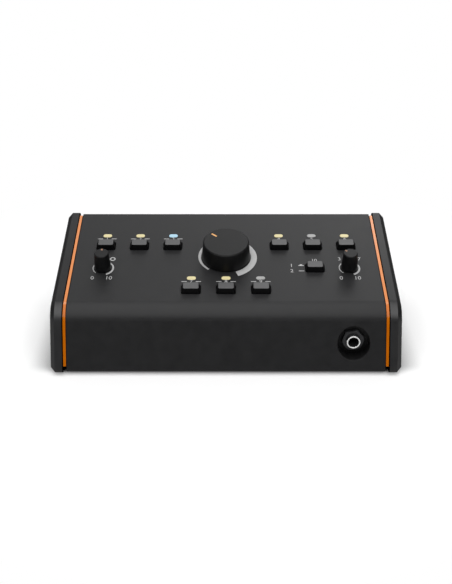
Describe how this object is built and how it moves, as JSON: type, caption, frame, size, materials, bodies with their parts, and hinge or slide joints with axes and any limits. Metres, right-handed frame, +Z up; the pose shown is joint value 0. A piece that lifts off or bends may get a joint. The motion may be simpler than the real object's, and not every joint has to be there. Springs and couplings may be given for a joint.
{
  "type": "studio monitor controller",
  "caption": "Desktop wedge with end cheeks, large volume knob, small knobs, push buttons with indicators and a front headphone jack.",
  "frame": {"origin": "centre of the bounding box, on the surface that the feet stand on", "axes": "+X to the user's right, +Y to the rear panel, +Z up"},
  "size_m": [0.2204, 0.1154, 0.0696],
  "materials": {
    "case_paint": "fine-textured dark grey powder coat, satin",
    "chassis_paint": "black powder coat, matt",
    "orange_trim": "moulded-in orange, satin",
    "cheek_plastic": "fine-textured dark grey moulding",
    "black_steel": "black oxide",
    "steel": "zinc plated",
    "bright_metal": "bright nickel plate",
    "dark_nut": "black plated, satin",
    "rubber": "matt moulded rubber",
    "circuit_board": "green solder mask over glass laminate",
    "black_plastic": "black moulding",
    "white_plastic": "white moulding",
    "relay_plastic": "cream moulding",
    "capacitor_sleeve": "dark shrink sleeve",
    "ribbon": "grey ribbed insulation",
    "button_plastic": "black moulding with a soft sheen",
    "knob_plastic": "black moulding, satin",
    "pointer_orange": "orange inlay",
    "lens_yellow": "lit yellow light pipe",
    "lens_blue": "lit blue light pipe",
    "lens_grey": "unlit translucent light pipe",
    "panel_print": "light grey screen print"
  },
  "bodies": {
    "case": {"front_top_cover": "case_paint", "base_chassis": "chassis_paint", "right_trim": "orange_trim", "left_trim": "orange_trim", "right_cheek": "cheek_plastic", "left_cheek": "cheek_plastic", "cheek_screws": "black_steel", "cover_screws": "black_steel", "rubber_feet": "rubber", "foot_screws": "steel", "control_board": "circuit_board", "control_board_pillars": "steel", "main_board": "circuit_board", "main_board_pillars": "steel", "board_screws": "steel", "ribbon_headers": "black_plastic", "ribbon_cable": "ribbon", "relays": "relay_plastic", "op_amp_chips": "black_plastic", "capacitors": "capacitor_sleeve", "button_switches": "black_plastic", "selector_switch": "black_plastic", "yellow_indicator_lenses": "lens_yellow", "blue_indicator_lens": "lens_blue", "unlit_indicator_lenses": "lens_grey", "led_packages": "white_plastic", "volume_pot_body": "steel", "volume_pot_nut": "steel", "small_pot_bodies": "steel", "jack_recess_cup": "black_plastic", "front_jack_bush": "bright_metal", "front_jack_nut": "dark_nut", "front_jack_body": "black_plastic", "rear_jack_bodies": "black_plastic", "rear_jack_nuts": "dark_nut", "dc_inlet": "black_plastic", "power_switch": "black_plastic"},
    "volume_control": {"volume_knob": "knob_plastic", "volume_pointer": "pointer_orange", "volume_pot_shaft": "steel"},
    "left_control": {"left_knob": "knob_plastic", "left_pointer": "pointer_orange", "left_pot_shaft": "steel"},
    "right_control": {"right_knob": "knob_plastic", "right_pointer": "pointer_orange", "right_pot_shaft": "steel"},
    "rear_row_button_1": {"rear_row_button_1": "button_plastic"},
    "rear_row_button_2": {"rear_row_button_2": "button_plastic"},
    "rear_row_button_3": {"rear_row_button_3": "button_plastic"},
    "rear_row_button_4": {"rear_row_button_4": "button_plastic"},
    "rear_row_button_5": {"rear_row_button_5": "button_plastic"},
    "rear_row_button_6": {"rear_row_button_6": "button_plastic"},
    "front_row_button_1": {"front_row_button_1": "button_plastic"},
    "front_row_button_2": {"front_row_button_2": "button_plastic"},
    "front_row_button_3": {"front_row_button_3": "button_plastic"},
    "selector": {"selector_button": "button_plastic", "selector_plunger": "white_plastic"},
    "power": {"power_button": "button_plastic", "power_plunger": "white_plastic"}
  },
  "joints": [
    {"name": "volume_turn", "type": "hinge", "parent": "case", "child": "volume_control", "pos_m": [0, 0.00624, 0.05346], "axis": [0, -0.2588, 0.9659], "range_deg": [-198, 102]},
    {"name": "left_knob_turn", "type": "hinge", "parent": "case", "child": "left_control", "pos_m": [-0.0806, -0.00506, 0.05044], "axis": [0, -0.2588, 0.9659], "range_deg": [-150, 150]},
    {"name": "right_knob_turn", "type": "hinge", "parent": "case", "child": "right_control", "pos_m": [0.0806, -0.00506, 0.05044], "axis": [0, -0.2588, 0.9659], "range_deg": [-201, 99]},
    {"name": "rear_row_button_1_press", "type": "slide", "parent": "case", "child": "rear_row_button_1", "axis": [0, 0.2588, -0.9659], "range_m": [0, 0.0015], "stiffness_N_per_m": 500, "springref_m": -0.001},
    {"name": "rear_row_button_2_press", "type": "slide", "parent": "case", "child": "rear_row_button_2", "axis": [0, 0.2588, -0.9659], "range_m": [0, 0.0015], "stiffness_N_per_m": 500, "springref_m": -0.001},
    {"name": "rear_row_button_3_press", "type": "slide", "parent": "case", "child": "rear_row_button_3", "axis": [0, 0.2588, -0.9659], "range_m": [0, 0.0015], "stiffness_N_per_m": 500, "springref_m": -0.001},
    {"name": "rear_row_button_4_press", "type": "slide", "parent": "case", "child": "rear_row_button_4", "axis": [0, 0.2588, -0.9659], "range_m": [0, 0.0015], "stiffness_N_per_m": 500, "springref_m": -0.001},
    {"name": "rear_row_button_5_press", "type": "slide", "parent": "case", "child": "rear_row_button_5", "axis": [0, 0.2588, -0.9659], "range_m": [0, 0.0015], "stiffness_N_per_m": 500, "springref_m": -0.001},
    {"name": "rear_row_button_6_press", "type": "slide", "parent": "case", "child": "rear_row_button_6", "axis": [0, 0.2588, -0.9659], "range_m": [0, 0.0015], "stiffness_N_per_m": 500, "springref_m": -0.001},
    {"name": "front_row_button_1_press", "type": "slide", "parent": "case", "child": "front_row_button_1", "axis": [0, 0.2588, -0.9659], "range_m": [0, 0.0015], "stiffness_N_per_m": 500, "springref_m": -0.001},
    {"name": "front_row_button_2_press", "type": "slide", "parent": "case", "child": "front_row_button_2", "axis": [0, 0.2588, -0.9659], "range_m": [0, 0.0015], "stiffness_N_per_m": 500, "springref_m": -0.001},
    {"name": "front_row_button_3_press", "type": "slide", "parent": "case", "child": "front_row_button_3", "axis": [0, 0.2588, -0.9659], "range_m": [0, 0.0015], "stiffness_N_per_m": 500, "springref_m": -0.001},
    {"name": "selector_press", "type": "slide", "parent": "case", "child": "selector", "axis": [0, 0.2588, -0.9659], "range_m": [0, 0.0022], "stiffness_N_per_m": 400, "springref_m": -0.001},
    {"name": "power_press", "type": "slide", "parent": "case", "child": "power", "axis": [0, -1, 0], "range_m": [0, 0.0025], "stiffness_N_per_m": 500, "springref_m": -0.001}
  ]
}
